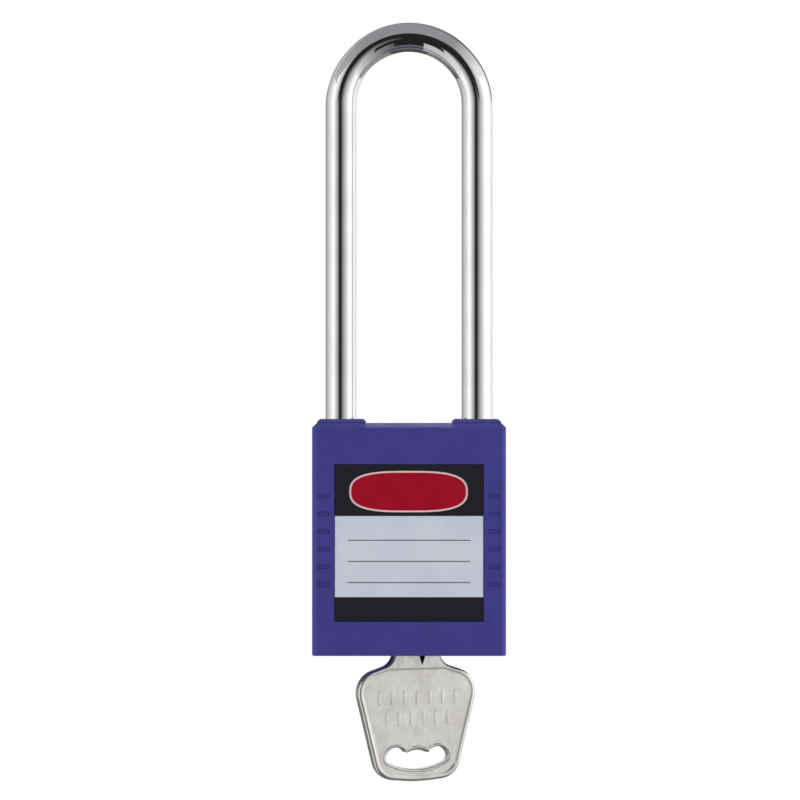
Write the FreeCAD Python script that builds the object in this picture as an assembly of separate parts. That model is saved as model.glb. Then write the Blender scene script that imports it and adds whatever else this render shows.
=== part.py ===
"""Safety padlock: a nylon body, a long steel shackle and a six-pin cylinder with its key.

Lengths are millimetres. X is the width, the front faces -Y and Z runs up along the shackle.
Each piece is drawn with z = 0 at the bottom of the body, and save() then moves it, so that
the frame's origin is the inside top of the shackle's bow, the point the padlock hangs from.
The lock is drawn closed, with the key turned to the position that lets the shackle go.
"""
import FreeCAD, Part
import math
import os

Vector = FreeCAD.Vector

# Body shell
body_width = 38.6
body_depth = 20.0
body_height = 46.2
corner_chamfer = 0.8
edge_radius = 1.1
boss_height = 0.85
boss_inner_reach = 5.0
boss_outer_reach = 4.65
boss_depth = 15.0
boss_chamfer = 0.5
bore_gap = 0.1
pocket_gap = 0.2

# Shackle
rod_diameter = 6.35
leg_margin = 5.6
inside_clearance = 73.95
shackle_lift = 16.5
toe_end_z = 31.5
heel_end_z = 7.6
heel_bore_end_z = 6.0
leg_tip_chamfer = 0.7

# Heel pin, which keeps the shackle in the body
heel_pin_diameter = 1.6
heel_pin_z = 28.0
heel_pin_bite = 1.4
heel_pin_wall_left = 1.4
heel_flat_gap = 0.15

# Bottom cover and its two screws
cover_thickness = 2.3
cover_inset = 0.3
cover_margin = 2.3
cover_ledge = 0.8
cover_gap = 0.1
screw_edge_x = 1.9
screw_edge_y = 2.3
screw_diameter = 2.0
screw_length = 8.0
screw_head_diameter = 3.4
screw_head_height = 1.1
screw_cross_width = 0.5
screw_cross_length = 2.2
screw_cross_depth = 0.6

# Labels
label_margin = 4.55
label_height = 31.1
label_thickness = 0.4
label_gap = 0.1
label_bottom_z = 6.9
recess_depth = 0.5

# Grip marks on both sides of the front label
mark_width = 2.4
mark_height = 0.9
mark_depth = 0.3
mark_pitch = 3.5
mark_margin = 2.3
mark_count = 6
mark_middle_z = 23.0

# Cylinder: housing, plug, pins and springs
cylinder_x = 1.35
housing_radius = 7.0
housing_height = 28.6
housing_bottom_z = 2.6
plug_bore_radius = 5.5
running_gap = 0.05
bore_length = 25.4
counterbore_radius = 6.0
plug_head_radius = 5.95
plug_face_z = 0.4
plug_tail_radius = 4.0
plug_tail_length = 2.6
bible_half_width = 3.0
bible_reach = 14.65
pin_count = 6
pin_pitch = 3.6
first_pin_z = 5.9
pin_radius = 1.44
chamber_gap = 0.06
pin_tip_radius = 0.5
pin_tip_height = 0.8
driver_length = 4.3
spring_wire = 0.4
spring_coil_radius = 0.95
spring_turns = 4
strip_thickness = 0.8
strip_half_width = 2.0
strip_end_margin = 1.2

# Clip that holds the plug in the housing
clip_thickness = 0.8
clip_outer_radius = 5.4
clip_inner_radius = 3.3
clip_gap = 0.25
clip_mouth = 4.4

# Key
key_turn = 20.0
key_thickness = 2.4
blade_thickness = 2.2
blade_back = 3.9
blade_front = 3.3
first_cut = 2.9
cut_step = 0.35
cut_half_flat = 0.7
blade_length = 25.0
blade_tip_length = 1.4
keyway_gap = 0.06
groove_place = 1.0
groove_width = 1.2
groove_depth = 0.8
groove_run_out = 2.6
groove_point = 1.8
neck_half_width = 4.9
neck_z = -2.0
neck_fillet = 3.1
shoulder_half_width = 13.45
shoulder_z = -4.85
shoulder_radius = 4.7
foot_half_width = 8.4
foot_z = -25.2
foot_radius = 4.4
bottom_z = -25.97
bottom_radius = 30.0
slot_half_width = 6.7
slot_side_z = -20.7
slot_end = 6.59
slot_end_z = -21.47
slot_corner = 5.9
slot_corner_z = -22.1
slot_bottom_z = -23.45
slot_side_lobe = 5.0
slot_side_lobe_z = -19.0
slot_middle_lobe_z = -19.55
slot_dip = 2.3
slot_dip_z = -20.27
slot_dip_radius = 0.6

# Lock case, bolt and the drive pin that moves it
drive_offset = 0.914
drive_turn = 10.0
drive_pin_radius = 1.2
drive_pin_top_gap = 0.3
drive_pin_depth = 3.6
plate_thickness = 1.1
plate_hole_gap = 0.5
case_leg_gap = 0.425
case_length_right = 6.95
case_height = 5.2
bolt_height = 3.0
bolt_gap = 0.15
bolt_leg_gap = 0.22
bolt_tongue_length = 4.3
bolt_tongue_half_depth = 2.4
bolt_half_depth = 4.0
bolt_tail = 3.95
bolt_travel = 1.8
bolt_channel_gap = 0.1
yoke_gap = 0.25
yoke_half_depth = 2.6
notch_depth = 2.1
notch_gap = 0.3

# How far a cutting tool stands out of the piece that it cuts
cutter_margin = 1.0

# Derived places
half_width = body_width / 2
half_depth = body_depth / 2
rod_radius = rod_diameter / 2
leg_x = half_width - leg_margin
bore_radius = rod_radius + bore_gap
boss_top_z = body_height + boss_height
crown_inner_z = boss_top_z + inside_clearance
arch_z = crown_inner_z - (leg_x - rod_radius)
leg_inner_x = leg_x - rod_radius
heel_pin_radius = heel_pin_diameter / 2
heel_pin_x = leg_inner_x + heel_pin_bite - heel_pin_radius
heel_flat_x = leg_inner_x + heel_pin_bite + heel_flat_gap
housing_top_z = housing_bottom_z + housing_height
bore_top_z = housing_bottom_z + bore_length
plug_radius = plug_bore_radius - running_gap
chamber_radius = pin_radius + chamber_gap
plug_top_z = bore_top_z + plug_tail_length
bible_x = cylinder_x - bible_reach
strip_x = bible_x + strip_thickness
strip_bottom_z = first_pin_z - chamber_radius - strip_end_margin
strip_top_z = first_pin_z + (pin_count - 1) * pin_pitch + chamber_radius + strip_end_margin
plate_top_z = housing_top_z + plate_thickness
case_top_z = plate_top_z + case_height
bolt_bottom_z = plate_top_z + bolt_gap
bolt_top_z = bolt_bottom_z + bolt_height
bolt_tip_x = -leg_inner_x + bolt_leg_gap
drive_pin_x = cylinder_x + drive_offset * math.cos(math.radians(drive_turn))
drive_pin_y = drive_offset * math.sin(math.radians(drive_turn))
case_left_x = -leg_inner_x + case_leg_gap
case_right_x = cylinder_x + case_length_right
case_half_depth = housing_radius
pocket_left_x = bible_x - pocket_gap
pocket_right_x = case_right_x + pocket_gap
pocket_half_depth = housing_radius + pocket_gap
pocket_top_z = case_top_z + bore_gap
seat_half_width = half_width - cover_margin
seat_half_depth = pocket_half_depth + cover_ledge
cover_top_z = cover_inset + cover_thickness
cover_half_width = seat_half_width - cover_gap
cover_half_depth = seat_half_depth - cover_gap
screw_x = cover_half_width - screw_edge_x
screw_y = cover_half_depth - screw_edge_y
label_half_width = half_width - label_margin
mark_column_x = half_width - mark_margin


def box(x0, x1, y0, y1, z0, z1):
    """A block between two corners."""
    return Part.makeBox(x1 - x0, y1 - y0, z1 - z0, Vector(x0, y0, z0))


def upright(radius, x, y, z0, z1):
    """A round bar or bore along Z."""
    return Part.makeCylinder(radius, z1 - z0, Vector(x, y, z0))


def rounded_outline(corners):
    """A closed outline in X and Z. Each corner is (x, z, radius), and a radius makes a tangent arc."""
    edges = []
    previous_end = None
    first_start = None
    count = len(corners)
    for index, (x, z, radius) in enumerate(corners):
        here = Vector(x, 0, z)
        before = Vector(corners[index - 1][0], 0, corners[index - 1][1]) - here
        after_corner = corners[(index + 1) % count]
        after = Vector(after_corner[0], 0, after_corner[1]) - here
        before.normalize()
        after.normalize()
        half_angle = before.getAngle(after) / 2
        reach = radius / math.tan(half_angle)
        start = here + before * reach
        end = here + after * reach
        if previous_end is not None:
            edges.append(Part.LineSegment(previous_end, start).toShape())
        if first_start is None:
            first_start = start
        if radius > 0:
            inward = before + after
            inward.normalize()
            centre = here + inward * (radius / math.sin(half_angle))
            edges.append(Part.Arc(start, centre - inward * radius, end).toShape())
        previous_end = end
    edges.append(Part.LineSegment(previous_end, first_start).toShape())
    return Part.Wire(edges)


def plate_of(wire, thickness):
    """A plate with this outline in X and Z, centred on y = 0."""
    solid = Part.Face(wire).extrude(Vector(0, thickness, 0))
    solid.translate(Vector(0, -thickness / 2, 0))
    return solid


def turned(shape, degrees):
    """The shape, drawn about x = 0, set on the cylinder's axis and turned about it."""
    copy = shape.copy()
    copy.rotate(Vector(0, 0, 0), Vector(0, 0, 1), degrees)
    copy.translate(Vector(cylinder_x, 0, 0))
    return copy


def pin_places():
    """The height of each pin chamber, from the key's bow upwards."""
    return [first_pin_z + index * pin_pitch for index in range(pin_count)]


def cut_height(index):
    """How far out the key's edge stands at one pin: each cut is deeper than the one below it."""
    return first_cut - index * cut_step


def save(name, shape):
    """Move one piece to the frame's origin and write it."""
    placed = shape.copy()
    placed.translate(Vector(0, 0, -crown_inner_z))
    placed.exportStep("parts/" + name + ".step")


def body_block():
    """The outside of the shell, with bevelled shoulders and a raised boss round each leg."""
    side = half_width - corner_chamfer
    top = body_height - corner_chamfer
    corners = [
        (-half_width, 0, 0),
        (half_width, 0, 0),
        (half_width, top, 0),
        (side, body_height, 0),
        (-side, body_height, 0),
        (-half_width, top, 0),
    ]
    block = plate_of(rounded_outline(corners), body_depth)
    rounded = []
    for edge in block.Edges:
        middle = edge.CenterOfMass
        runs_up_or_over = abs(abs(middle.y) - half_depth) < 0.01 and middle.z > 0.01
        if runs_up_or_over:
            rounded.append(edge)
    block = block.makeFillet(edge_radius, rounded)
    for side_sign in (-1, 1):
        inner_x = side_sign * (leg_x - boss_inner_reach)
        outer_x = side_sign * (leg_x + boss_outer_reach)
        boss = box(min(inner_x, outer_x), max(inner_x, outer_x),
                   -boss_depth / 2, boss_depth / 2, body_height - boss_height, boss_top_z)
        rim = [edge for edge in boss.Edges if edge.BoundBox.ZMin > boss_top_z - 0.01]
        block = block.fuse(boss.makeChamfer(boss_chamfer, rim))
    return block.removeSplitter()


def label_recess(face_sign):
    """The shallow recess that a label is stuck in, on the front (-1) or the back (1)."""
    outside = half_depth * face_sign
    inside = (half_depth - recess_depth) * face_sign
    return box(-label_half_width - label_gap, label_half_width + label_gap,
               min(outside, inside), max(outside, inside),
               label_bottom_z - label_gap, label_bottom_z + label_height + label_gap)


def grip_marks():
    """Short sunk bars in a column on each side of the front label."""
    marks = []
    lowest = mark_middle_z - (mark_count - 1) * mark_pitch / 2
    for side_sign in (-1, 1):
        middle_x = side_sign * mark_column_x
        for index in range(mark_count):
            z = lowest + index * mark_pitch
            marks.append(box(middle_x - mark_width / 2, middle_x + mark_width / 2,
                             -half_depth, -half_depth + mark_depth,
                             z - mark_height / 2, z + mark_height / 2))
    return marks


def body_shell():
    """The moulded nylon shell: pockets for the cylinder and the lock case, and the leg bores."""
    cuts = [
        box(pocket_left_x, pocket_right_x, -pocket_half_depth, pocket_half_depth, 0, pocket_top_z),
        box(pocket_right_x, leg_x, -bore_radius, bore_radius, heel_end_z, pocket_top_z),
        box(-seat_half_width, seat_half_width, -seat_half_depth, seat_half_depth, 0, cover_top_z),
        upright(bore_radius, -leg_x, 0, housing_top_z, boss_top_z),
        upright(bore_radius, leg_x, 0, heel_bore_end_z, boss_top_z),
        heel_pin_solid(half_depth - recess_depth),
        label_recess(-1),
        label_recess(1),
    ]
    for x, y in screw_places():
        cuts.append(upright(screw_diameter / 2, x, y, 0, cover_top_z + screw_length))
    return body_block().cut(cuts + grip_marks())


def screw_places():
    """The cover's two screws stand on opposite corners."""
    return [(-screw_x, screw_y), (screw_x, -screw_y)]


def bottom_cover():
    """The plate that closes the body from below, with a hole for the plug's face."""
    cover = box(-cover_half_width, cover_half_width, -cover_half_depth, cover_half_depth,
                cover_inset, cover_top_z)
    corners = [edge for edge in cover.Edges if edge.BoundBox.ZLength > cover_thickness / 2]
    cover = cover.makeFillet(edge_radius, corners)
    cuts = [upright(plug_head_radius + running_gap, cylinder_x, 0, 0, housing_bottom_z)]
    for x, y in screw_places():
        cuts.append(upright(screw_diameter / 2, x, y, 0, housing_bottom_z))
        cuts.append(upright(screw_head_diameter / 2, x, y, 0, cover_inset + screw_head_height))
    return cover.cut(cuts)


def cover_screw(x, y):
    """A small pan-head screw with a cross recess, sunk flush in the cover."""
    head_top_z = cover_inset + screw_head_height
    screw = upright(screw_head_diameter / 2, x, y, cover_inset, head_top_z)
    screw = screw.fuse(upright(screw_diameter / 2, x, y, head_top_z, head_top_z + screw_length))
    along = box(x - screw_cross_length / 2, x + screw_cross_length / 2,
                y - screw_cross_width / 2, y + screw_cross_width / 2,
                cover_inset, cover_inset + screw_cross_depth)
    across = box(x - screw_cross_width / 2, x + screw_cross_width / 2,
                 y - screw_cross_length / 2, y + screw_cross_length / 2,
                 cover_inset, cover_inset + screw_cross_depth)
    return screw.cut([along, across]).removeSplitter()


def label(face_sign):
    """A stiff printed label that fills its recess, on the front (-1) or the back (1)."""
    inner = (half_depth - recess_depth) * face_sign
    outer = inner + label_thickness * face_sign
    return box(-label_half_width, label_half_width, min(inner, outer), max(inner, outer),
               label_bottom_z, label_bottom_z + label_height)


def shackle():
    """A bent steel rod: a short toe leg with the bolt's notch, a long heel leg with its flat."""
    start = Part.Wire(Part.makeCircle(rod_radius, Vector(leg_x, 0, arch_z), Vector(0, 0, 1)))
    arch = Part.Face(start).revolve(Vector(0, 0, arch_z), Vector(0, -1, 0), 180)
    toe = upright(rod_radius, -leg_x, 0, toe_end_z, arch_z)
    heel = upright(rod_radius, leg_x, 0, heel_end_z, arch_z)
    toe_rim = [edge for edge in toe.Edges if edge.BoundBox.ZMax < toe_end_z + 0.01]
    heel_rim = [edge for edge in heel.Edges if edge.BoundBox.ZMax < heel_end_z + 0.01]
    toe = toe.makeChamfer(leg_tip_chamfer, toe_rim)
    heel = heel.makeChamfer(leg_tip_chamfer, heel_rim)
    rod = arch.fuse([toe, heel]).removeSplitter()

    notch = box(-leg_inner_x - notch_depth, -leg_inner_x + rod_radius, -rod_radius, rod_radius,
                bolt_bottom_z - notch_gap, bolt_top_z + notch_gap)
    pin_room = heel_pin_radius + heel_flat_gap
    lowest = heel_pin_z - shackle_lift - pin_room
    flat = box(leg_inner_x - rod_radius, heel_flat_x, -rod_radius, rod_radius,
               lowest, heel_pin_z + pin_room)
    ring = upright(rod_radius + cutter_margin, leg_x, 0, lowest, lowest + 2 * pin_room)
    ring = ring.cut(upright(leg_x - heel_flat_x, leg_x, 0, lowest, lowest + 2 * pin_room))
    return rod.cut([notch, flat, ring])


def heel_pin_solid(back_y):
    """A straight pin from a blind hole in the front wall to the given place in the back wall."""
    front_y = -half_depth + heel_pin_wall_left
    return Part.makeCylinder(heel_pin_radius, back_y - front_y,
                             Vector(heel_pin_x, front_y, heel_pin_z), Vector(0, 1, 0))


def cylinder_housing():
    """The brass housing: plug bore, counterbore for the clip, and the row of pin chambers."""
    barrel = upright(housing_radius, cylinder_x, 0, housing_bottom_z, housing_top_z)
    bible = box(bible_x, cylinder_x, -bible_half_width, bible_half_width,
                housing_bottom_z, housing_top_z)
    cuts = [
        upright(plug_bore_radius, cylinder_x, 0, housing_bottom_z, bore_top_z),
        upright(counterbore_radius, cylinder_x, 0, bore_top_z, housing_top_z),
        box(bible_x, strip_x, -strip_half_width, strip_half_width, strip_bottom_z, strip_top_z),
    ]
    for z in pin_places():
        cuts.append(Part.makeCylinder(chamber_radius, cylinder_x - strip_x,
                                      Vector(strip_x, 0, z), Vector(1, 0, 0)))
    return barrel.fuse(bible).cut(cuts).removeSplitter()


def chamber_strip():
    """The strip that closes the outer ends of the pin chambers."""
    return box(bible_x, strip_x, -strip_half_width, strip_half_width, strip_bottom_z, strip_top_z)


def driver_pin(z):
    """A plain pin just outside the plug, which locks it when the plug stands at rest."""
    return Part.makeCylinder(pin_radius, driver_length,
                             Vector(cylinder_x - plug_bore_radius - driver_length, 0, z),
                             Vector(1, 0, 0))


def pin_spring(z):
    """A small coil spring between the chamber strip and the driver pin."""
    outer_x = strip_x + spring_wire / 2 + running_gap
    inner_x = cylinder_x - plug_bore_radius - driver_length - spring_wire / 2 - running_gap
    length = inner_x - outer_x
    helix = Part.makeHelix(length / spring_turns, length, spring_coil_radius)
    section = Part.Wire(Part.makeCircle(spring_wire / 2, Vector(spring_coil_radius, 0, 0),
                                        Vector(0, 1, 0)))
    coil = Part.Wire(helix).makePipeShell([section], True, True)
    coil.rotate(Vector(0, 0, 0), Vector(0, 1, 0), 90)
    coil.translate(Vector(outer_x, 0, z))
    return coil


def keyway():
    """The slot in the plug that the blade slides in, with a rib for the blade's groove."""
    half = blade_thickness / 2 + keyway_gap
    slot = box(-blade_back - keyway_gap, blade_front + keyway_gap, -half, half,
               plug_face_z, plug_face_z + blade_length + keyway_gap)
    rib = box(groove_place - groove_width / 2 + keyway_gap, groove_place + groove_width / 2 - keyway_gap,
              -half, -half + groove_depth, plug_face_z, plug_face_z + blade_length + keyway_gap)
    return slot.cut(rib)


def plug():
    """The turning plug: a head in the cover's hole, the keyway, and a tail with the clip's groove."""
    head = upright(plug_head_radius, 0, 0, plug_face_z, housing_bottom_z - running_gap)
    barrel = upright(plug_radius, 0, 0, plug_face_z, bore_top_z)
    tail = upright(plug_tail_radius, 0, 0, bore_top_z, plug_top_z)
    solid = head.fuse([barrel, tail]).removeSplitter()
    ring_z = bore_top_z + clip_gap
    ring = upright(plug_tail_radius + cutter_margin, 0, 0, ring_z, ring_z + clip_thickness)
    ring = ring.cut(upright(clip_inner_radius, 0, 0, ring_z, ring_z + clip_thickness))
    cuts = [keyway(), ring]
    for z in pin_places():
        cuts.append(Part.makeCylinder(chamber_radius, plug_head_radius, Vector(0, 0, z),
                                      Vector(1, 0, 0)))
    pin_hole = upright(drive_pin_radius, drive_pin_x, drive_pin_y, plug_top_z - drive_pin_depth,
                       plug_top_z)
    return turned(solid.cut(cuts), key_turn).cut(pin_hole)


def plug_clip():
    """The open spring clip in the plug's groove, which stops it from leaving the housing."""
    ring_z = bore_top_z + clip_gap
    clip = upright(clip_outer_radius, 0, 0, ring_z, ring_z + clip_thickness)
    clip = clip.cut(upright(clip_inner_radius, 0, 0, ring_z, ring_z + clip_thickness))
    mouth = box(-clip_outer_radius, 0, -clip_mouth / 2, clip_mouth / 2, ring_z,
                ring_z + clip_thickness)
    return turned(clip.cut(mouth), key_turn)


def drive_pin():
    """The pin set off the plug's centre, which reaches up into the bolt's yoke."""
    return upright(drive_pin_radius, drive_pin_x, drive_pin_y, plug_top_z - drive_pin_depth,
                   bolt_top_z - drive_pin_top_gap)


def key_pin(index, z):
    """A pin with a pointed foot, from its cut in the key out to the plug's surface."""
    foot = cut_height(index)
    outer = math.sqrt(plug_radius ** 2 - pin_radius ** 2) - running_gap
    shaft = Part.makeCylinder(pin_radius, outer - foot - pin_tip_height,
                              Vector(foot + pin_tip_height, 0, z), Vector(1, 0, 0))
    point = Part.makeCone(pin_tip_radius, pin_radius, pin_tip_height, Vector(foot, 0, z),
                          Vector(1, 0, 0))
    return turned(shaft.fuse(point).removeSplitter(), key_turn)


def blade_outline():
    """The blade seen from the side: a straight back, and an edge with one cut for each pin."""
    start_z = plug_face_z - running_gap
    end_z = plug_face_z + blade_length
    corners = [
        (-blade_back, -groove_run_out, 0),
        (blade_front, -groove_run_out, 0),
        (blade_front, start_z + cut_half_flat, 0),
    ]
    for index, z in enumerate(pin_places()):
        height = cut_height(index) - running_gap
        corners.append((height, z - cut_half_flat, 0))
        corners.append((height, z + cut_half_flat, 0))
    last_height = cut_height(pin_count) - running_gap
    corners.append((last_height, end_z - blade_tip_length, 0))
    corners.append((-blade_back / 2, end_z, 0))
    corners.append((-blade_back, end_z - blade_tip_length, 0))
    return rounded_outline(corners)


def bow_outline():
    """The bow: a narrow neck, sloping shoulders, sides that taper, and a rounded foot."""
    top_z = plug_face_z - running_gap
    right_side = [
        (neck_half_width, top_z, 0),
        (neck_half_width, neck_z, neck_fillet),
        (shoulder_half_width, shoulder_z, shoulder_radius),
        (foot_half_width, foot_z, foot_radius),
    ]
    left_side = [(-x, z, radius) for x, z, radius in reversed(right_side)]
    return rounded_outline(right_side + [(0, bottom_z, bottom_radius)] + left_side)


def slot_outline():
    """The slot for a key ring: three lobes along the top, round ends and one long arc below."""
    def at(x, z):
        return Vector(x, 0, z)

    left_dip = at(-slot_dip, slot_dip_z)
    right_dip = at(slot_dip, slot_dip_z)
    left = at(-slot_half_width, slot_side_z)
    right = at(slot_half_width, slot_side_z)
    left_corner = at(-slot_corner, slot_corner_z)
    right_corner = at(slot_corner, slot_corner_z)
    return Part.Wire([
        Part.Arc(left, at(-slot_side_lobe, slot_side_lobe_z), left_dip).toShape(),
        Part.Arc(left_dip, at(0, slot_middle_lobe_z), right_dip).toShape(),
        Part.Arc(right_dip, at(slot_side_lobe, slot_side_lobe_z), right).toShape(),
        Part.Arc(right, at(slot_end, slot_end_z), right_corner).toShape(),
        Part.Arc(right_corner, at(0, slot_bottom_z), left_corner).toShape(),
        Part.Arc(left_corner, at(-slot_end, slot_end_z), left).toShape(),
    ])


def round_the_dips(bow):
    """Round the two points that hang down into the slot between its lobes."""
    def is_dip(edge):
        return all(abs(abs(end.X) - slot_dip) < 1e-6 and abs(end.Z - slot_dip_z) < 1e-6
                   for end in edge.Vertexes)

    return bow.makeFillet(slot_dip_radius, [edge for edge in bow.Edges if is_dip(edge)])


def key_groove():
    """The milled groove along the key's front, which runs out to a point on the bow."""
    point_z = -groove_run_out + groove_point
    top_z = plug_face_z + blade_length
    outline = rounded_outline([
        (groove_place - groove_width / 2, top_z, 0),
        (groove_place - groove_width / 2, point_z, 0),
        (groove_place, -groove_run_out, 0),
        (groove_place + groove_width / 2, point_z, 0),
        (groove_place + groove_width / 2, top_z, 0),
    ])
    front_y = -key_thickness / 2
    floor_y = -blade_thickness / 2 + groove_depth
    groove = plate_of(outline, floor_y - front_y)
    groove.translate(Vector(0, (front_y + floor_y) / 2, 0))
    return groove


def key():
    """A flat nickel-plated key, turned with the plug."""
    bow = plate_of(bow_outline(), key_thickness).cut(plate_of(slot_outline(), key_thickness))
    blade = plate_of(blade_outline(), blade_thickness)
    whole = round_the_dips(bow).fuse(blade).cut(key_groove()).removeSplitter()
    return turned(whole, key_turn)


def lock_plate():
    """The plate between the cylinder and the lock case, with room for the drive pin's orbit."""
    plate = box(case_left_x, case_right_x, -case_half_depth, case_half_depth, housing_top_z,
                plate_top_z)
    orbit = drive_offset + drive_pin_radius + plate_hole_gap
    return plate.cut(upright(orbit, cylinder_x, 0, housing_top_z, plate_top_z))


def lock_case():
    """The block between the legs, with the channel that guides the bolt, open from below."""
    case = box(case_left_x, case_right_x, -case_half_depth, case_half_depth, plate_top_z, case_top_z)
    channel_top_z = bolt_top_z + bolt_gap
    wide = bolt_half_depth + bolt_channel_gap
    narrow = bolt_tongue_half_depth + bolt_channel_gap
    wide_left_x = bolt_tip_x + bolt_tongue_length - bolt_travel - bolt_gap
    channel = box(wide_left_x, cylinder_x + bolt_tail + bolt_gap, -wide, wide, plate_top_z,
                  channel_top_z)
    mouth = box(case_left_x, wide_left_x, -narrow, narrow, plate_top_z, channel_top_z)
    return case.cut([channel, mouth])


def locking_bolt():
    """The sliding bolt: a tongue for the toe leg's notch and a yoke round the drive pin."""
    tongue = box(bolt_tip_x, bolt_tip_x + bolt_tongue_length, -bolt_tongue_half_depth,
                 bolt_tongue_half_depth, bolt_bottom_z, bolt_top_z)
    slab = box(bolt_tip_x + bolt_tongue_length, cylinder_x + bolt_tail, -bolt_half_depth,
               bolt_half_depth, bolt_bottom_z, bolt_top_z)
    yoke_half_width = drive_pin_radius + yoke_gap
    yoke = box(drive_pin_x - yoke_half_width, drive_pin_x + yoke_half_width, -yoke_half_depth,
               yoke_half_depth, bolt_bottom_z, bolt_top_z)
    return tongue.fuse(slab).cut(yoke).removeSplitter()


os.makedirs("parts", exist_ok=True)
save("body_shell", body_shell())
save("bottom_cover", bottom_cover())
save("front_label", label(-1))
save("rear_label", label(1))
save("shackle", shackle())
save("heel_pin", heel_pin_solid(half_depth - recess_depth))
save("cylinder_housing", cylinder_housing())
save("chamber_strip", chamber_strip())
save("plug", plug())
save("plug_clip", plug_clip())
save("drive_pin", drive_pin())
save("lock_plate", lock_plate())
save("lock_case", lock_case())
save("locking_bolt", locking_bolt())
save("key", key())
for side, (screw_at_x, screw_at_y) in zip(("left", "right"), screw_places()):
    save("cover_screw_" + side, cover_screw(screw_at_x, screw_at_y))
for number, pin_z in enumerate(pin_places(), start=1):
    save("key_pin_" + str(number), key_pin(number - 1, pin_z))
    save("driver_pin_" + str(number), driver_pin(pin_z))
    save("pin_spring_" + str(number), pin_spring(pin_z))
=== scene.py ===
"""Safety padlock: a blue nylon body, a long chromed shackle, a printed label and a nickel key.

Lengths are metres. X is the width, the front faces -Y, and Z = 0 is the inside top of the shackle.
"""
import bpy
import bmesh
import math
from mathutils import Matrix, Vector


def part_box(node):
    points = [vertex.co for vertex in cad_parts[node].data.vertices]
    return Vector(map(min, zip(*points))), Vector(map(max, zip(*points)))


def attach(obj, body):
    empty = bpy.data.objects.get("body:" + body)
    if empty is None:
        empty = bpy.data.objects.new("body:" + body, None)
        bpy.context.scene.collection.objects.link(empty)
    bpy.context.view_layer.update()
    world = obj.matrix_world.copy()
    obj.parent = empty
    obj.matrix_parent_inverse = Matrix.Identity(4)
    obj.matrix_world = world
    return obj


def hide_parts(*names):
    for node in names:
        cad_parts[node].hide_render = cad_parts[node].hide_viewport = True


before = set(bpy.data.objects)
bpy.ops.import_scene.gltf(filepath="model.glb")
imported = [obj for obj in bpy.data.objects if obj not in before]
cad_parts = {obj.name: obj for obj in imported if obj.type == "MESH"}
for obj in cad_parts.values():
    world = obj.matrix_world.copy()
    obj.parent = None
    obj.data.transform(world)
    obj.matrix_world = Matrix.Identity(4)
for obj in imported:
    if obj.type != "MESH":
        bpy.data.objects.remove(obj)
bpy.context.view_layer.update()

bpy.ops.object.select_all(action="DESELECT")

# ------------------------------------------------------------------------------------------
# Body shell. Blue-violet nylon, injection moulded in one piece and open at the bottom, where
# the lock goes in. It has bevelled shoulders, a raised boss round each leg, a sunk field for
# each label and sunk grip marks beside the front one.
shell_low, shell_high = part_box("body_shell")
shackle_low, shackle_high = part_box("shackle")
half_width = shell_high.x
half_depth = shell_high.y
boss_height = 0.00085
shoulder_z = shell_high.z - boss_height
corner_chamfer = 0.0008
edge_radius = 0.0011
foot_radius = 0.0002
rod_radius = 0.003175
leg_x = shackle_high.x - rod_radius
touching = 1e-5
overshoot = 0.001
millimetres = 1000


def from_foot(height):
    """A place in the frame, from its height in millimetres above the foot of the body."""
    return shell_low.z + height * 0.001


def pick(piece):
    """Selects one piece alone and makes it the active one."""
    bpy.ops.object.select_all(action="DESELECT")
    bpy.context.view_layer.objects.active = piece
    piece.select_set(True)


def new_block(name, low, high):
    """A cube primitive stretched between two corners, with its place in its mesh."""
    bpy.ops.mesh.primitive_cube_add(size=1)
    block = bpy.context.object
    block.name = name
    block.location = (Vector(low) + Vector(high)) / 2
    block.scale = Vector(high) - Vector(low)
    bpy.ops.object.transform_apply(location=True, rotation=True, scale=True)
    return block


def new_bar(name, radius, start, end):
    """A round bar primitive from one point to another, with its place in its mesh."""
    start, end = Vector(start), Vector(end)
    bpy.ops.mesh.primitive_cylinder_add(radius=radius, depth=(end - start).length, vertices=64)
    bar = bpy.context.object
    bar.name = name
    bar.rotation_euler = (end - start).to_track_quat("Z", "Y").to_euler()
    bar.location = (start + end) / 2
    bpy.ops.object.transform_apply(location=True, rotation=True, scale=True)
    return bar


def bevel_where(piece, wanted, offset, segments):
    """Bevels the edges for which wanted(middle, direction) is true."""
    pick(piece)
    bpy.ops.object.mode_set(mode="EDIT")
    bpy.ops.mesh.select_mode(type="EDGE")
    bpy.ops.mesh.select_all(action="DESELECT")
    mesh = bmesh.from_edit_mesh(piece.data)
    for edge in mesh.edges:
        start, end = (vertex.co for vertex in edge.verts)
        edge.select = wanted((start + end) / 2, (end - start).normalized())
    mesh.select_flush_mode()
    bmesh.update_edit_mesh(piece.data)
    bpy.ops.mesh.bevel(offset=offset, segments=segments, affect="EDGES")
    bpy.ops.object.mode_set(mode="OBJECT")


def apply_modifier(piece, kind, **settings):
    """Adds a modifier, sets it and applies it."""
    pick(piece)
    modifier = piece.modifiers.new(kind.lower(), kind)
    for setting, value in settings.items():
        setattr(modifier, setting, value)
    bpy.ops.object.modifier_apply(modifier=modifier.name)


def carve(piece, cutter, operation="DIFFERENCE"):
    """Cuts one solid out of another, or adds it, and deletes the tool."""
    apply_modifier(piece, "BOOLEAN", object=cutter, operation=operation, solver="EXACT")
    bpy.data.objects.remove(cutter)


def smooth_shading(piece, angle=35):
    """Shades smoothly across edges up to an angle in degrees, and keeps the flat faces flat."""
    pick(piece)
    bpy.ops.object.shade_smooth_by_angle(angle=math.radians(angle))
    apply_modifier(piece, "WEIGHTED_NORMAL", keep_sharp=True)


def soften(piece, width, angle=35):
    """Breaks every sharp edge that is left, then shades the piece."""
    apply_modifier(piece, "BEVEL", width=width, segments=2, limit_method="ANGLE",
                   angle_limit=math.radians(angle), use_clamp_overlap=True)
    smooth_shading(piece, angle)


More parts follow.
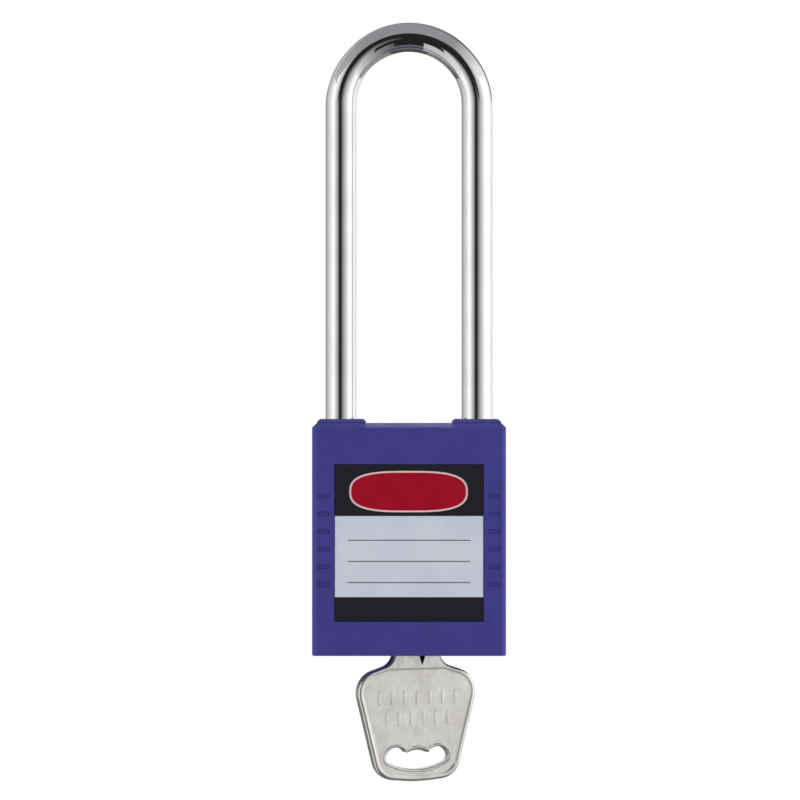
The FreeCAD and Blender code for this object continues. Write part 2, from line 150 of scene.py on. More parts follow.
shell = new_block("nylon_shell", shell_low, (half_width, half_depth, shoulder_z))
bevel_where(shell,
            lambda at, way: at.z > shoulder_z - touching and abs(at.x) > half_width - touching,
            corner_chamfer, 1)
bevel_where(shell,
            lambda at, way: abs(at.y) > half_depth - touching and at.z > shell_low.z + touching,
            edge_radius, 6)
bevel_where(shell, lambda at, way: at.z < shell_low.z + touching, foot_radius, 2)

boss_inward = 0.0050
boss_outward = 0.00465
boss_half_depth = 0.0075
boss_chamfer = 0.0005
bore_radius = rod_radius + 0.0001
toe_bore_foot = from_foot(31.2)
heel_bore_foot = from_foot(6.0)
for side, bore_foot in ((-1, toe_bore_foot), (1, heel_bore_foot)):
    left_x, right_x = sorted((side * (leg_x - boss_inward), side * (leg_x + boss_outward)))
    boss = new_block("boss", (left_x, -boss_half_depth, shoulder_z - overshoot),
                     (right_x, boss_half_depth, shell_high.z))
    bevel_where(boss, lambda at, way: at.z > shell_high.z - touching, boss_chamfer, 1)
    carve(shell, boss, "UNION")
    carve(shell, new_bar("bore", bore_radius, (side * leg_x, 0, bore_foot),
                         (side * leg_x, 0, shell_high.z + overshoot)))

pocket_left = -0.0135
pocket_right = 0.0085
pocket_half_depth = 0.0072
pocket_roof = from_foot(37.6)
carve(shell, new_block("pocket", (pocket_left, -pocket_half_depth, shell_low.z - overshoot),
                       (pocket_right, pocket_half_depth, pocket_roof)))
seat_half_width = 0.017
seat_half_depth = 0.008
seat_roof = from_foot(2.6)
carve(shell, new_block("cover_seat", (-seat_half_width, -seat_half_depth, shell_low.z - overshoot),
                       (seat_half_width, seat_half_depth, seat_roof)))

label_low, label_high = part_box("front_label")
label_gap = 0.0001
label_recess = 0.0005
for face_y in (-half_depth, half_depth):
    carve(shell, new_block("label_field",
                           (label_low.x - label_gap, face_y - label_recess, label_low.z - label_gap),
                           (label_high.x + label_gap, face_y + label_recess, label_high.z + label_gap)))
soften(shell, width=0.00014)

mark_count = 6
mark_pitch = 0.0035
mark_x = 0.017
marks_middle_z = from_foot(23.0)
mark_reach = Vector((0.0012, 0.0003, 0.00045))
mark_corner = 0.0003
mark_floor_edge = 0.0001
for side in (-1, 1):
    for index in range(mark_count):
        mark_z = marks_middle_z + (index - (mark_count - 1) / 2) * mark_pitch
        middle = Vector((side * mark_x, -half_depth, mark_z))
        mark = new_block("grip_mark", middle - mark_reach, middle + mark_reach)
        bevel_where(mark, lambda at, way: abs(way.y) > 0.9, mark_corner, 3)
        bevel_where(mark, lambda at, way: at.y > mark_reach.y - half_depth - touching,
                    mark_floor_edge, 1)
        carve(shell, mark)
smooth_shading(shell)


def new_finish(name):
    """A fresh material: its node tree, its main shader, and Object coordinates in millimetres."""
    material = bpy.data.materials.new(name)
    material.use_nodes = True
    tree = material.node_tree
    shader = tree.nodes["Principled BSDF"]
    place = tree.nodes.new("ShaderNodeTexCoord")
    scale = tree.nodes.new("ShaderNodeMapping")
    scale.inputs["Scale"].default_value = (millimetres, millimetres, millimetres)
    tree.links.new(place.outputs["Object"], scale.inputs["Vector"])
    return material, tree, shader, scale.outputs["Vector"]


def paint(piece, material):
    """Puts one material on a piece, in place of what it had."""
    piece.data.materials.clear()
    piece.data.materials.append(material)


def split(tree, where):
    """The X, Y and Z of a place."""
    node = tree.nodes.new("ShaderNodeSeparateXYZ")
    tree.links.new(where, node.inputs["Vector"])
    return node.outputs["X"], node.outputs["Y"], node.outputs["Z"]


def grain(tree, where, scale, detail=2.0, stretch=(1, 1, 1)):
    """A noise pattern, about one millimetre divided by scale across, from 0 to 1."""
    squeeze = tree.nodes.new("ShaderNodeMapping")
    squeeze.inputs["Scale"].default_value = stretch
    tree.links.new(where, squeeze.inputs["Vector"])
    noise = tree.nodes.new("ShaderNodeTexNoise")
    noise.inputs["Scale"].default_value = scale
    noise.inputs["Detail"].default_value = detail
    tree.links.new(squeeze.outputs["Vector"], noise.inputs["Vector"])
    return noise.outputs["Fac"]


def spread(tree, source, low, high, start=0.35, end=0.65):
    """Maps a pattern's range from start to end onto a range from low to high."""
    node = tree.nodes.new("ShaderNodeMapRange")
    node.inputs["From Min"].default_value = start
    node.inputs["From Max"].default_value = end
    node.inputs["To Min"].default_value = low
    node.inputs["To Max"].default_value = high
    tree.links.new(source, node.inputs["Value"])
    return node.outputs["Result"]


def tint(tree, share, first, second):
    """Mixes two colours by a share. Each is three numbers, or another colour's socket."""
    node = tree.nodes.new("ShaderNodeMix")
    node.data_type = "RGBA"
    tree.links.new(share, node.inputs["Factor"])
    for socket, colour in ((node.inputs["A"], first), (node.inputs["B"], second)):
        if isinstance(colour, tuple):
            socket.default_value = (*colour, 1)
        else:
            tree.links.new(colour, socket)
    return node.outputs["Result"]


def relief(tree, shader, height, depth, strength=1.0):
    """Fine relief, with the pattern's full height in millimetres."""
    node = tree.nodes.new("ShaderNodeBump")
    node.inputs["Strength"].default_value = strength
    node.inputs["Distance"].default_value = depth * 0.001
    tree.links.new(height, node.inputs["Height"])
    tree.links.new(node.outputs["Normal"], shader.inputs["Normal"])


def combine(tree, operation, first, second=0.0):
    """One arithmetic step on patterns or numbers."""
    node = tree.nodes.new("ShaderNodeMath")
    node.operation = operation
    for socket, value in zip(node.inputs, (first, second)):
        if isinstance(value, (int, float)):
            socket.default_value = value
        else:
            tree.links.new(value, socket)
    return node.outputs["Value"]


def nylon_finish(name, dark, light, highlight_colour, highlight_share):
    """Moulded nylon: satin, with a fine spark-eroded grain, and a painted highlight on its top edges.

    The painted highlight is a paler colour, strongest on the front and back top edges between the two
    bosses, and faint on the bosses.
    """
    material, tree, shader, where = new_finish(name)
    x, y, z = split(tree, where)
    # Painted highlight: the rounded top edges and boss tops are painted paler, standing in for overhead
    # light falling on them.
    round_starts_y = (half_depth - edge_radius) * millimetres
    round_starts_z = (shoulder_z - edge_radius) * millimetres
    past_face = combine(tree, "SUBTRACT", combine(tree, "ABSOLUTE", y), round_starts_y)
    past_top = combine(tree, "SUBTRACT", z, round_starts_z)
    on_edge = combine(tree, "MULTIPLY", spread(tree, past_face, 0, 1, 0.0, 0.08),
                      spread(tree, past_top, 0, highlight_share, 0.12, 0.62))

    boss_starts = (leg_x - boss_inward) * millimetres
    between_bosses = spread(tree, combine(tree, "ABSOLUTE", x), 1, 0.12,
                            boss_starts - 0.3, boss_starts + 0.2)
    edge_share = combine(tree, "MULTIPLY", on_edge, between_bosses)
    above_shoulder = combine(tree, "SUBTRACT", z, shoulder_z * millimetres)
    boss_share = spread(tree, above_shoulder, 0, highlight_share * 0.22, 0.05, 0.30)
    painted_highlight = combine(tree, "MULTIPLY", combine(tree, "MAXIMUM", edge_share, boss_share),
                     spread(tree, grain(tree, where, 0.35, 3.0), 0.8, 1.0))

    even = tint(tree, spread(tree, grain(tree, where, 0.22), 0, 1), dark, light)
    tree.links.new(tint(tree, painted_highlight, even, highlight_colour), shader.inputs["Base Color"])
    tree.links.new(spread(tree, grain(tree, where, 1.4), 0.42, 0.54), shader.inputs["Roughness"])
    shader.inputs["Specular IOR Level"].default_value = 0.32
    relief(tree, shader, grain(tree, where, 7.0, 3.0), 0.012, 0.5)
    return material


# The last two arguments are the painted highlight's colour and strength on the top edges.
paint(shell, nylon_finish("blue_nylon", (0.028, 0.028, 0.205), (0.033, 0.031, 0.232),
                          (0.155, 0.150, 0.340), 0.85))
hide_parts("body_shell")
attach(shell, "lock_body")

# ------------------------------------------------------------------------------------------
# Bottom cover. The same nylon, a plate that closes the foot of the body round the plug's face
# and is held by two zinc-plated cross-head screws.
# No painted highlight on the cover: its highlight colour is its own light tone, and its strength is 0.
cover_nylon = nylon_finish("cover_nylon", (0.024, 0.024, 0.180), (0.028, 0.027, 0.205),
                           (0.028, 0.027, 0.205), 0.0)


def metal_finish(name, dark, light, roughness, stretch=(1, 1, 1), relief_depth=0.004):
    """Bare or plated metal: a colour that varies a little, and fine marks from its making."""
    material, tree, shader, where = new_finish(name)
    shader.inputs["Metallic"].default_value = 1.0
    tree.links.new(tint(tree, spread(tree, grain(tree, where, 0.5, 4.0), 0, 1), dark, light),
                   shader.inputs["Base Color"])
    tree.links.new(spread(tree, grain(tree, where, 2.5, 3.0, stretch), roughness * 0.8, roughness * 1.2),
                   shader.inputs["Roughness"])
    relief(tree, shader, grain(tree, where, 6.0, 2.0, stretch), relief_depth, 0.4)
    return material


screw_zinc = metal_finish("screw_zinc", (0.50, 0.50, 0.48), (0.66, 0.66, 0.63), 0.28)
paint(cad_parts["bottom_cover"], cover_nylon)
for node in ("cover_screw_left", "cover_screw_right"):
    paint(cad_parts[node], screw_zinc)

# ------------------------------------------------------------------------------------------
# Front label. A stiff printed film in the front field: a silver-grey panel with ruled writing
# lines between two black bands, and a red shield with a white rim in the upper one. No words.
film_corner = 0.00035
film_edge = 0.00008


def new_film(name, low, high, outer_y):
    """A film cut to size, with round corners and the edges of its outer side broken."""
    film = new_block(name, low, high)
    bevel_where(film, lambda at, way: abs(way.y) > 0.9, film_corner, 3)
    bevel_where(film, lambda at, way: abs(at.y - outer_y) < touching, film_edge, 2)
    smooth_shading(film)
    return film


def soft_step(tree, value, edge, width=0.04):
    """0 below an edge and 1 above it, with a narrow printed edge between, in millimetres."""
    return spread(tree, value, 0, 1, edge - width, edge + width)


def rest_of(tree, share):
    """What a share leaves of 1."""
    return combine(tree, "SUBTRACT", 1.0, share)


def above_foot(tree, z):
    """The height above the foot of the body, in millimetres."""
    return combine(tree, "SUBTRACT", z, shell_low.z * millimetres)


def printed_lines(tree, height, lowest, pitch, count, thickness):
    """Thin level lines, 1 on a line and 0 between."""
    total = None
    for index in range(count):
        distance = combine(tree, "ABSOLUTE", combine(tree, "SUBTRACT", height, lowest + index * pitch))
        line = rest_of(tree, soft_step(tree, distance, thickness / 2, 0.03))
        total = line if total is None else combine(tree, "MAXIMUM", total, line)
    return total


def shield(tree, across, height, half_wide, half_high):
    """1 inside a flattened oval whose ends are blunter than an ellipse's, and 0 outside it."""
    left_of_middle = 0.1
    shield_height = 32.67
    end_power = 3.2
    side_power = 2.7
    aside = combine(tree, "ABSOLUTE", combine(tree, "ADD", across, left_of_middle))
    wide = combine(tree, "POWER", combine(tree, "DIVIDE", aside, half_wide), end_power)
    rise = combine(tree, "ABSOLUTE", combine(tree, "SUBTRACT", height, shield_height))
    high = combine(tree, "POWER", combine(tree, "DIVIDE", rise, half_high), side_power)
    return rest_of(tree, soft_step(tree, combine(tree, "ADD", wide, high), 1.0, 0.03))


def label_finish(name):
    """The print on the front label, laid out from the middle and the foot of the body."""
    ink_black = (0.0135, 0.0143, 0.0180)
    silver_dark = (0.475, 0.520, 0.590)
    silver_light = (0.505, 0.552, 0.620)
    ruled_grey = (0.060, 0.066, 0.080)
    rim_white = (0.640, 0.470, 0.500)
    shield_red = (0.305, 0.0014, 0.0130)
    shield_deep = (0.272, 0.0012, 0.0125)
    panel_foot = 11.7
    panel_top = 27.8
    line_half_length = 12.2

    material, tree, shader, where = new_finish(name)
    across, _, z = split(tree, where)
    height = above_foot(tree, z)

    silver = tint(tree, spread(tree, grain(tree, where, 0.12), 0, 1), silver_dark, silver_light)
    lines = printed_lines(tree, height, lowest=14.6, pitch=4.2, count=3, thickness=0.2)
    reach = rest_of(tree, soft_step(tree, combine(tree, "ABSOLUTE", across), line_half_length))
    panel = tint(tree, combine(tree, "MULTIPLY", lines, reach), silver, ruled_grey)
    bands = combine(tree, "MAXIMUM", soft_step(tree, height, panel_top),
                    rest_of(tree, soft_step(tree, height, panel_foot)))
    banded = tint(tree, bands, panel, ink_black)

    on_rim = shield(tree, across, height, half_wide=11.75, half_high=4.1)
    on_red = shield(tree, across, height, half_wide=11.43, half_high=3.78)
    red = tint(tree, spread(tree, grain(tree, where, 0.3), 0, 1), shield_deep, shield_red)
    print_colour = tint(tree, on_red, tint(tree, on_rim, banded, rim_white), red)
    tree.links.new(print_colour, shader.inputs["Base Color"])
    tree.links.new(spread(tree, grain(tree, where, 0.8, 3.0), 0.34, 0.44), shader.inputs["Roughness"])
    shader.inputs["Specular IOR Level"].default_value = 0.08
    relief(tree, shader, grain(tree, where, 3.0, 2.0), 0.004, 0.4)
    return material


front_label = new_film("front_label_film", label_low, label_high, label_low.y)
paint(front_label, label_finish("front_label_print"))
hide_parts("front_label")
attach(front_label, "lock_body")

# ------------------------------------------------------------------------------------------
# Rear label. A plain silver-grey film for the holder's own writing, with ruled lines and a thin
# printed border, stuck in the rear field.


def writing_label_finish(name):
    """Silver film with five writing lines inside a border."""
    silver_dark = (0.480, 0.515, 0.585)
    silver_light = (0.540, 0.570, 0.630)
    ink_grey = (0.05, 0.055, 0.065)
    label_middle = 22.45
    line_half_length = 11.8
    border_half_width = 13.4
    border_half_height = 14.2

    material, tree, shader, where = new_finish(name)
    x, _, z = split(tree, where)
    across = combine(tree, "ABSOLUTE", x)
    height = above_foot(tree, z)
    rise = combine(tree, "ABSOLUTE", combine(tree, "SUBTRACT", height, label_middle))

    silver = tint(tree, spread(tree, grain(tree, where, 0.12), 0, 1), silver_dark, silver_light)
    lines = printed_lines(tree, height, lowest=12.0, pitch=5.2, count=5, thickness=0.18)
    reach = rest_of(tree, soft_step(tree, across, line_half_length))
    outward = combine(tree, "MAXIMUM", combine(tree, "SUBTRACT", across, border_half_width),
                      combine(tree, "SUBTRACT", rise, border_half_height))
    border = rest_of(tree, soft_step(tree, combine(tree, "ABSOLUTE", outward), 0.18, 0.03))
    ink = combine(tree, "MAXIMUM", combine(tree, "MULTIPLY", lines, reach), border)
    tree.links.new(tint(tree, ink, silver, ink_grey), shader.inputs["Base Color"])
    tree.links.new(spread(tree, grain(tree, where, 0.8, 3.0), 0.38, 0.50), shader.inputs["Roughness"])
    relief(tree, shader, grain(tree, where, 3.0, 2.0), 0.004, 0.4)
    return material


rear_low, rear_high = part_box("rear_label")
rear_label = new_film("rear_label_film", rear_low, rear_high, rear_high.y)
paint(rear_label, writing_label_finish("rear_label_print"))
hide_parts("rear_label")
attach(rear_label, "lock_body")

# ------------------------------------------------------------------------------------------
# Shackle. One round steel rod, bent hot and chromed, a little thinner across the bend. The toe
# leg ends in the body at a notch for the bolt, and the heel leg runs on down with a flat and a
# ring groove for the heel pin.
toe_end_z = from_foot(31.5)
heel_end_z = shackle_low.z
bend_inside = leg_x - rod_radius
arch_z = -bend_inside
bend_thinning = 0.07
end_round = 0.0007

bpy.ops.mesh.primitive_circle_add(vertices=72, radius=rod_radius, fill_type="NGON")
shackle = bpy.context.object
shackle.name = "bent_shackle"
shackle.location = (-leg_x, 0, toe_end_z)
bpy.ops.object.transform_apply(location=True, rotation=True, scale=True)
bpy.ops.object.mode_set(mode="EDIT")
bpy.ops.mesh.select_mode(type="FACE")
bpy.ops.mesh.select_all(action="SELECT")
bpy.ops.mesh.extrude_region_move(TRANSFORM_OT_translate={"value": (0, 0, arch_z - toe_end_z)})
bpy.ops.mesh.spin(steps=96, angle=-math.pi, center=(0, 0, arch_z), axis=(0, 1, 0))
bpy.ops.mesh.extrude_region_move(TRANSFORM_OT_translate={"value": (0, 0, heel_end_z - arch_z)})
bpy.ops.mesh.select_all(action="SELECT")
bpy.ops.mesh.remove_doubles(threshold=1e-7)
bpy.ops.mesh.normals_make_consistent(inside=False)
bpy.ops.object.mode_set(mode="OBJECT")
for vertex in shackle.data.vertices:
    if vertex.co.z > arch_z:
        spoke = Vector((vertex.co.x, 0, vertex.co.z - arch_z))
        rise = spoke.z / spoke.length
        thinned = 1 - bend_thinning * min(1.0, rise * 1.6)
        spoke = spoke.normalized() * (bend_inside + (spoke.length - bend_inside) * thinned)
        vertex.co = (spoke.x, vertex.co.y, arch_z + spoke.z)
bevel_where(shackle, lambda at, way: at.z < toe_end_z + touching and at.x < 0, end_round, 4)
bevel_where(shackle, lambda at, way: at.z < heel_end_z + touching, end_round, 4)

pin_z = from_foot(28.0)
pin_room = 0.00095
lift = 0.0165
ring_z = pin_z - lift
ring_radius = 0.006
clear_of_rod = 0.004
between_legs = 0.005
notch_depth = 0.0021
notch_foot = from_foot(32.15)
notch_top = from_foot(35.75)
notch_x = -leg_x + rod_radius - notch_depth
flat_depth = 0.00155
flat_x = leg_x - rod_radius + flat_depth
carve(shackle, new_block("notch", (notch_x, -clear_of_rod, notch_foot), (0, clear_of_rod, notch_top)))
carve(shackle, new_block("flat", (between_legs, -clear_of_rod, ring_z - pin_room),
                         (flat_x, clear_of_rod, pin_z + pin_room)))
ring = new_bar("ring", ring_radius, (leg_x, 0, ring_z - pin_room), (leg_x, 0, ring_z + pin_room))
carve(ring, new_bar("core", leg_x - flat_x, (leg_x, 0, ring_z - clear_of_rod),
                    (leg_x, 0, ring_z + clear_of_rod)))
carve(shackle, ring)
soften(shackle, width=0.00008, angle=40)


def chrome_finish(name):
    """Bright chrome over drawn steel: nearly a mirror, with faint lines along the rod."""
    material, tree, shader, where = new_finish(name)
    shader.inputs["Metallic"].default_value = 1.0
    tree.links.new(tint(tree, spread(tree, grain(tree, where, 0.15), 0, 1), (0.80, 0.81, 0.82),
                        (0.86, 0.865, 0.87)), shader.inputs["Base Color"])
    tree.links.new(spread(tree, grain(tree, where, 1.5, 3.0, (1, 1, 0.15)), 0.045, 0.085),
                   shader.inputs["Roughness"])
    relief(tree, shader, grain(tree, where, 1.2, 2.0, (1, 1, 0.1)), 0.0012, 0.3)
    return material


paint(shackle, chrome_finish("bright_chrome"))
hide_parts("shackle")
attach(shackle, "shackle")

# ------------------------------------------------------------------------------------------
# Key. Stamped and nickel plated: a flat bow with a coined edge and a three-lobed ring slot, a
# grooved neck, and a cut blade in the plug. Rows of small raised grips stand on the bow, where
# other keys carry words.
key_turn = math.radians(20)
plug_x = 0.00135
key_way = Matrix.Translation((plug_x, 0, 0)) @ Matrix.Rotation(key_turn, 4, "Z")
key_thickness = 0.0024
key_face = key_thickness / 2
bow_top_z = from_foot(0.2)
groove_left = 0.0002
groove_right = 0.0019
groove_foot_z = from_foot(-2.8)
field_top = from_foot(-2.9)
field_depth = 0.0002
rim_width = 0.00028
border_width = 0.00044
outline_round = 0.0005
slot_round = 0.0003
slot_step_chamfer = 0.00014
slot_half_width = 0.0079
slot_half_height = 0.0041
slot_middle_z = from_foot(-20.6)
dip_inner = 0.0015
dip_outer = 0.0036

key = bpy.data.objects.new("nickel_key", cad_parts["key"].data.copy())
bpy.context.scene.collection.objects.link(key)
pick(key)
bpy.ops.object.mode_set(mode="EDIT")
bpy.ops.mesh.select_all(action="SELECT")
bpy.ops.mesh.remove_doubles(threshold=1e-6)
bpy.ops.mesh.dissolve_limited(angle_limit=math.radians(0.6))
bpy.ops.object.mode_set(mode="OBJECT")
key.data.transform(key_way.inverted())
bpy.ops.object.mode_set(mode="EDIT")
bpy.ops.mesh.select_all(action="SELECT")
bpy.ops.mesh.bisect(plane_co=(0, 0, field_top), plane_no=(0, 0, 1))
bpy.ops.object.mode_set(mode="OBJECT")


def spot_of(at):
    """A place rounded to a micrometre, so that it can be looked up."""
    return tuple(round(value * 1e6) for value in at)


def square_edges(piece):
    """The middles of the edges where two faces meet at about a right angle."""
    mesh = bmesh.new()
    mesh.from_mesh(piece.data)
    found = set()
    for edge in mesh.edges:
        if len(edge.link_faces) == 2 and edge.calc_face_angle() > math.radians(60):
            found.add(spot_of((edge.verts[0].co + edge.verts[1].co) / 2))
    mesh.free()
    return found


def beside_slot(at):
    """A place on the edge of the ring slot."""
    return (at.x / slot_half_width) ** 2 + ((at.z - slot_middle_z) / slot_half_height) ** 2 < 1


def near_dip(at):
    """A place by one of the two points that part the slot's three lobes."""
    return dip_inner < abs(at.x) < dip_outer and at.z > slot_middle_z


def coin_edges(wanted, width, segments):
    """Bevels the square edges of the bow's two faces for which wanted(place) is true."""
    square = square_edges(key)

    def chosen(at, way):
        """An edge on the front or the back, below the body and away from the groove."""
        on_face = abs(abs(at.y) - key_face) < 2 * touching and abs(way.y) < 0.1
        beside_groove = groove_left < at.x < groove_right and at.z > groove_foot_z
        on_bow = on_face and at.z < bow_top_z and not beside_groove
        return on_bow and spot_of(at) in square and wanted(at)

    bevel_where(key, chosen, width, segments)


def select_field(side):
    """Goes into edit mode with the bow's flat front (-1) or back (1) selected."""
    pick(key)
    bpy.ops.object.mode_set(mode="EDIT")
    bpy.ops.mesh.select_mode(type="FACE")
    bpy.ops.mesh.select_all(action="DESELECT")
    mesh = bmesh.from_edit_mesh(key.data)
    for face in mesh.faces:
        on_face = abs(face.calc_center_median().y - side * key_face) < 2 * touching
        below = max(vertex.co.z for vertex in face.verts) < field_top + 1e-6
        face.select = on_face and face.normal.y * side > 0.999 and below
    bmesh.update_edit_mesh(key.data)


def draw_in(piece, distance, wanted):
    """Slides the selected faces' border inwards, at the corners for which wanted(place) is true."""
    mesh = bmesh.from_edit_mesh(piece.data)
    slides = {}
    for face in (face for face in mesh.faces if face.select):
        for loop in face.loops:
            if sum(other.select for other in loop.edge.link_faces) == 1:
                along = (loop.link_loop_next.vert.co - loop.vert.co).normalized()
                for corner in (loop.vert, loop.link_loop_next.vert):
                    slides.setdefault(corner, []).append(face.normal.cross(along))
    for corner, ways in slides.items():
        if wanted(corner.co):
            middle = sum(ways, Vector()).normalized()
            corner.co += middle * (distance / max(0.5, middle.dot(ways[0])))
    bmesh.update_edit_mesh(piece.data)


coin_edges(lambda at: not beside_slot(at), outline_round, 4)
coin_edges(beside_slot, slot_round, 4)
for side in (-1, 1):
    select_field(side)
    bpy.ops.mesh.inset(thickness=rim_width, depth=0)
    bpy.ops.mesh.extrude_region_move(TRANSFORM_OT_translate={"value": (0, -side * field_depth, 0)})
    draw_in(key, border_width, lambda at: not beside_slot(at))
    bpy.ops.object.mode_set(mode="OBJECT")
coin_edges(lambda at: beside_slot(at) and not near_dip(at), slot_step_chamfer, 1)

grip_reach = Vector((0.0003, 0.00014, 0.0013))
grip_round = 0.00012
grips = []
for row_z, count, pitch in ((from_foot(-9.0), 7, 0.0027), (from_foot(-13.2), 6, 0.0026)):
    for index in range(count):
        for side in (-1, 1):
            middle = Vector(((index - (count - 1) / 2) * pitch, side * (key_face - field_depth), row_z))
            grip = new_block("grip", middle - grip_reach, middle + grip_reach)
            bevel_where(grip, lambda at, way: True, grip_round, 3)
            grips.append(grip)
pick(key)
for grip in grips:
    grip.select_set(True)
bpy.ops.object.join()
key.data.transform(key_way)
key.data.update()
smooth_shading(key, angle=23.5)


def nickel_finish(name):
    """Nickel plate over stamped brass: satin, with rolling marks, and a painted dark reflection on the
    stamped walls near the body.
    """
    plate_dark = (0.770, 0.747, 0.697)
    plate_light = (0.870, 0.852, 0.812)
    reflection_black = (0.030, 0.030, 0.032)

    material, tree, shader, where = new_finish(name)
    shader.inputs["Metallic"].default_value = 1.0
    plate = tint(tree, spread(tree, grain(tree, where, 0.25, 3.0), 0, 1), plate_dark, plate_light)

    key_place = tree.nodes.new("ShaderNodeVectorRotate")
    key_place.rotation_type = "Z_AXIS"
    key_place.inputs["Center"].default_value = (plug_x * millimetres, 0, 0)
    key_place.inputs["Angle"].default_value = -key_turn
    tree.links.new(where, key_place.inputs["Vector"])
    _, y, z = split(tree, key_place.outputs["Vector"])
    # Painted dark reflection: the bow's side walls are painted near black towards the body, standing in for
    # the body's shaded foot seen in them.
    on_wall = spread(tree, combine(tree, "ABSOLUTE", y), 1, 0, 0.70, 0.86)
    near_lock = spread(tree, above_foot(tree, z), 0.0, 0.96, -7.8, -5.3)
    painted_reflection = combine(tree, "MULTIPLY", on_wall, near_lock)
    tree.links.new(tint(tree, painted_reflection, plate, reflection_black), shader.inputs["Base Color"])
    tree.links.new(spread(tree, grain(tree, where, 1.2, 4.0, (1, 1, 0.5)), 0.26, 0.38),
                   shader.inputs["Roughness"])
    relief(tree, shader, grain(tree, where, 2.2, 4.0, (1, 1, 0.6)), 0.010, 0.35)
    return material


paint(key, nickel_finish("key_nickel"))
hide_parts("key")
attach(key, "key")

# ------------------------------------------------------------------------------------------
# Cylinder and lock works. Turned brass for the housing, plug and pins, plain steel for the
# springs, clip, bolt and other two pins, and grey die-cast zinc for the case and its plate.
turned_brass = metal_finish("turned_brass", (0.56, 0.39, 0.15), (0.68, 0.49, 0.21), 0.24, (1, 1, 4))
plain_steel = metal_finish("plain_steel", (0.42, 0.42, 0.42), (0.56, 0.56, 0.56), 0.26, (1, 1, 3))
cast_zinc = metal_finish("cast_zinc", (0.40, 0.41, 0.42), (0.50, 0.51, 0.52), 0.42, (1, 1, 1), 0.01)
for node in ("cylinder_housing", "chamber_strip", "plug"):
    paint(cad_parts[node], turned_brass)
for node in ("heel_pin", "plug_clip", "drive_pin", "locking_bolt"):
    paint(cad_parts[node], plain_steel)
for node in ("lock_case", "lock_plate"):
    paint(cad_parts[node], cast_zinc)
for number in range(1, 7):
    paint(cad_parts["key_pin_" + str(number)], turned_brass)
    paint(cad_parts["driver_pin_" + str(number)], turned_brass)
    paint(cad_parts["pin_spring_" + str(number)], plain_steel)

# ------------------------------------------------------------------------------------------
# Floor and studio. A pale floor well below the hanging padlock, two tall soft lamps, and plain
# cards that show only in reflections: black ones in front, and white and grey ones at the
# sides, behind, below and overhead. The world is white to the eye and to polished metal.
floor_reach = 0.7
floor_corner = 0.3
floor_low = -0.33
floor_high = -0.32
floor = new_block("floor", (-floor_reach, -floor_reach, floor_low), (floor_reach, floor_reach, floor_high))
bevel_where(floor, lambda at, way: abs(way.z) > 0.9, floor_corner, 12)
floor_paint, tree, shader, where = new_finish("floor_paint")
tree.links.new(tint(tree, spread(tree, grain(tree, where, 0.01), 0, 1), (0.86, 0.86, 0.86),
                    (0.90, 0.90, 0.90)), shader.inputs["Base Color"])
shader.inputs["Roughness"].default_value = 0.7
paint(floor, floor_paint)


def studio_card(name, centre, width, height, facing, left_shade, right_shade):
    """A flat card that shades from left to right, seen only in reflections."""
    bpy.ops.mesh.primitive_plane_add(size=1)
    card = bpy.context.object
    card.name = name
    card.scale = (width, height, 1)
    bpy.ops.object.transform_apply(location=False, rotation=False, scale=True)
    card.data.transform(Vector(facing).to_track_quat("Z", "Y").to_matrix().to_4x4())
    card.data.transform(Matrix.Translation(centre))
    material = bpy.data.materials.new(name + "_paint")
    material.use_nodes = True
    tree = material.node_tree
    tree.nodes.remove(tree.nodes["Principled BSDF"])
    place = tree.nodes.new("ShaderNodeTexCoord")
    across = split(tree, place.outputs["Generated"])[0]
    glow = tree.nodes.new("ShaderNodeEmission")
    tree.links.new(tint(tree, across, (left_shade,) * 3, (right_shade,) * 3), glow.inputs["Color"])
    tree.links.new(glow.outputs["Emission"], tree.nodes["Material Output"].inputs["Surface"])
    card.data.materials.append(material)
    card.visible_camera = False
    card.visible_diffuse = False
    card.visible_shadow = False
    return card


def round_about(azimuth, distance, height):
    """A place round the padlock: azimuth 0 is in front, and it grows towards the right."""
    angle = math.radians(azimuth)
    return Vector((math.sin(angle) * distance, -math.cos(angle) * distance, height))


card_distance = 0.85
card_height = 1.25
card_middle_z = -0.23
for name, azimuth, width, shades in (("front_left_card", -35, 0.722, (1.30, 0.05)),
                                     ("front_right_card", 30, 0.904, (0.05, 1.15)),
                                     ("right_white_card", 82.5, 0.775, (1.25, 1.25)),
                                     ("rear_left_card", -104, 1.76, (1.25, 0.10)),
                                     ("rear_right_card", 135, 0.904, (0.72, 1.10))):
    studio_card(name, round_about(azimuth, card_distance, card_middle_z), width, card_height,
                round_about(azimuth, -1, 0), *shades)

black = 0.018
to_back = (0, 1, 0)
to_front = (0, -1, 0)
studio_card("front_black_card", round_about(-3, 1.5, -0.6), 0.52, 2.3, to_back, black, black)
studio_card("front_top_card", (0, -0.80, 0.24), 0.70, 0.32, to_back, black, black)
studio_card("rear_left_top_card", round_about(-135, 0.82, 0.50), 0.9, 0.62,
            round_about(-135, -1, 0), 0.62, 0.40)
studio_card("rear_top_card", (0.225, 0.5, 0.435), 0.55, 0.73, to_front, 0.30, 0.08)

low_z = -0.30
next_z = low_z + 0.005
upwards = (0, 0, 1)
studio_card("black_strip", (0, -0.785, low_z), 0.164, 1.37, upwards, black, black)
studio_card("grey_strip", (0, 0.01, low_z), 0.164, 0.22, upwards, 0.17, 0.17)
studio_card("low_left_card", (-0.382, -0.365, low_z), 0.60, 0.97, upwards, 1.00, 0.55)
studio_card("black_apron", (0, -0.78, next_z), 0.46, 0.84, upwards, black, black)
studio_card("low_right_card", (0.382, -0.365, low_z), 0.60, 0.97, upwards, 0.12, 1.05)
studio_card("low_rear_card", (0, 0.77, low_z), 1.4, 1.3, upwards, 0.10, 0.40)
studio_card("low_rear_strip", (0, 0.77, next_z), 0.24, 1.3, upwards, 0.08, 0.08)

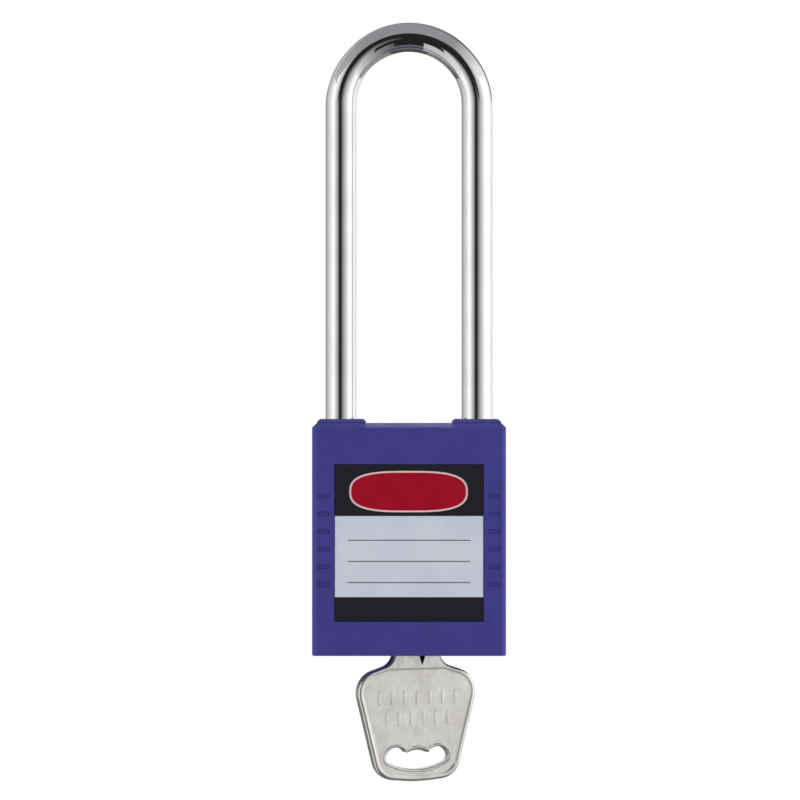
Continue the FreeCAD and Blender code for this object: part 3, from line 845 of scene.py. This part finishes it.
ceiling_grey = (0.315, 0.320, 0.335)
ceiling_white = (0.95, 0.95, 0.95)
ceiling = studio_card("ceiling_card", (-0.5, 0, 0.9), 4.8, 4.8, (0, 0, -1), 0, 0)
tree = ceiling.data.materials[0].node_tree
across = tree.nodes["Separate XYZ"].outputs["X"]
paler = combine(tree, "MAXIMUM", spread(tree, across, 0.5, 0, 0.08, 0.50),
                spread(tree, across, 0, 1, 0.73, 0.89))
tree.links.new(tint(tree, paler, ceiling_grey, ceiling_white), tree.nodes["Emission"].inputs["Color"])


def soft_lamp(name, azimuth, power):
    """A tall soft lamp that faces the padlock and isn't seen in its metal."""
    data = bpy.data.lights.new(name, "AREA")
    data.shape = "RECTANGLE"
    data.size = 1.25
    data.size_y = 1.8
    data.energy = power
    lamp = bpy.data.objects.new(name, data)
    bpy.context.scene.collection.objects.link(lamp)
    padlock_middle = Vector((0, 0, -0.07))
    lamp.location = round_about(azimuth, 1.0, padlock_middle.z)
    lamp.rotation_euler = (padlock_middle - lamp.location).to_track_quat("-Z", "Y").to_euler()
    lamp.visible_camera = False
    lamp.visible_glossy = False


soft_lamp("left_lamp", -62, 8.6)
soft_lamp("right_lamp", 80, 13.2)

world = bpy.data.worlds.new("white_studio")
bpy.context.scene.world = world
world.use_nodes = True
tree = world.node_tree
fill = tree.nodes["Background"]
fill.inputs["Color"].default_value = (1, 1, 1, 1)
fill.inputs["Strength"].default_value = 0.66
white = tree.nodes.new("ShaderNodeBackground")
white.inputs["Color"].default_value = (1, 1, 1, 1)
white.inputs["Strength"].default_value = 1.0
rays = tree.nodes.new("ShaderNodeLightPath")
seen = combine(tree, "MAXIMUM", rays.outputs["Is Camera Ray"],
               combine(tree, "MAXIMUM", rays.outputs["Is Glossy Ray"], rays.outputs["Is Transmission Ray"]))
blend = tree.nodes.new("ShaderNodeMixShader")
tree.links.new(seen, blend.inputs["Fac"])
tree.links.new(fill.outputs["Background"], blend.inputs[1])
tree.links.new(white.outputs["Background"], blend.inputs[2])
tree.links.new(blend.outputs["Shader"], tree.nodes["World Output"].inputs["Surface"])

camera_distance = 0.70
camera_data = bpy.data.cameras.new("camera")
camera_data.lens = 156.3
camera_data.sensor_width = 36.0
camera = bpy.data.objects.new("camera", camera_data)
bpy.context.scene.collection.objects.link(camera)
camera.location = (-0.0018, -camera_distance, from_foot(50.87))
camera.rotation_euler = (math.radians(90), 0, 0)
bpy.context.scene.camera = camera
bpy.context.scene.view_settings.view_transform = "Standard"
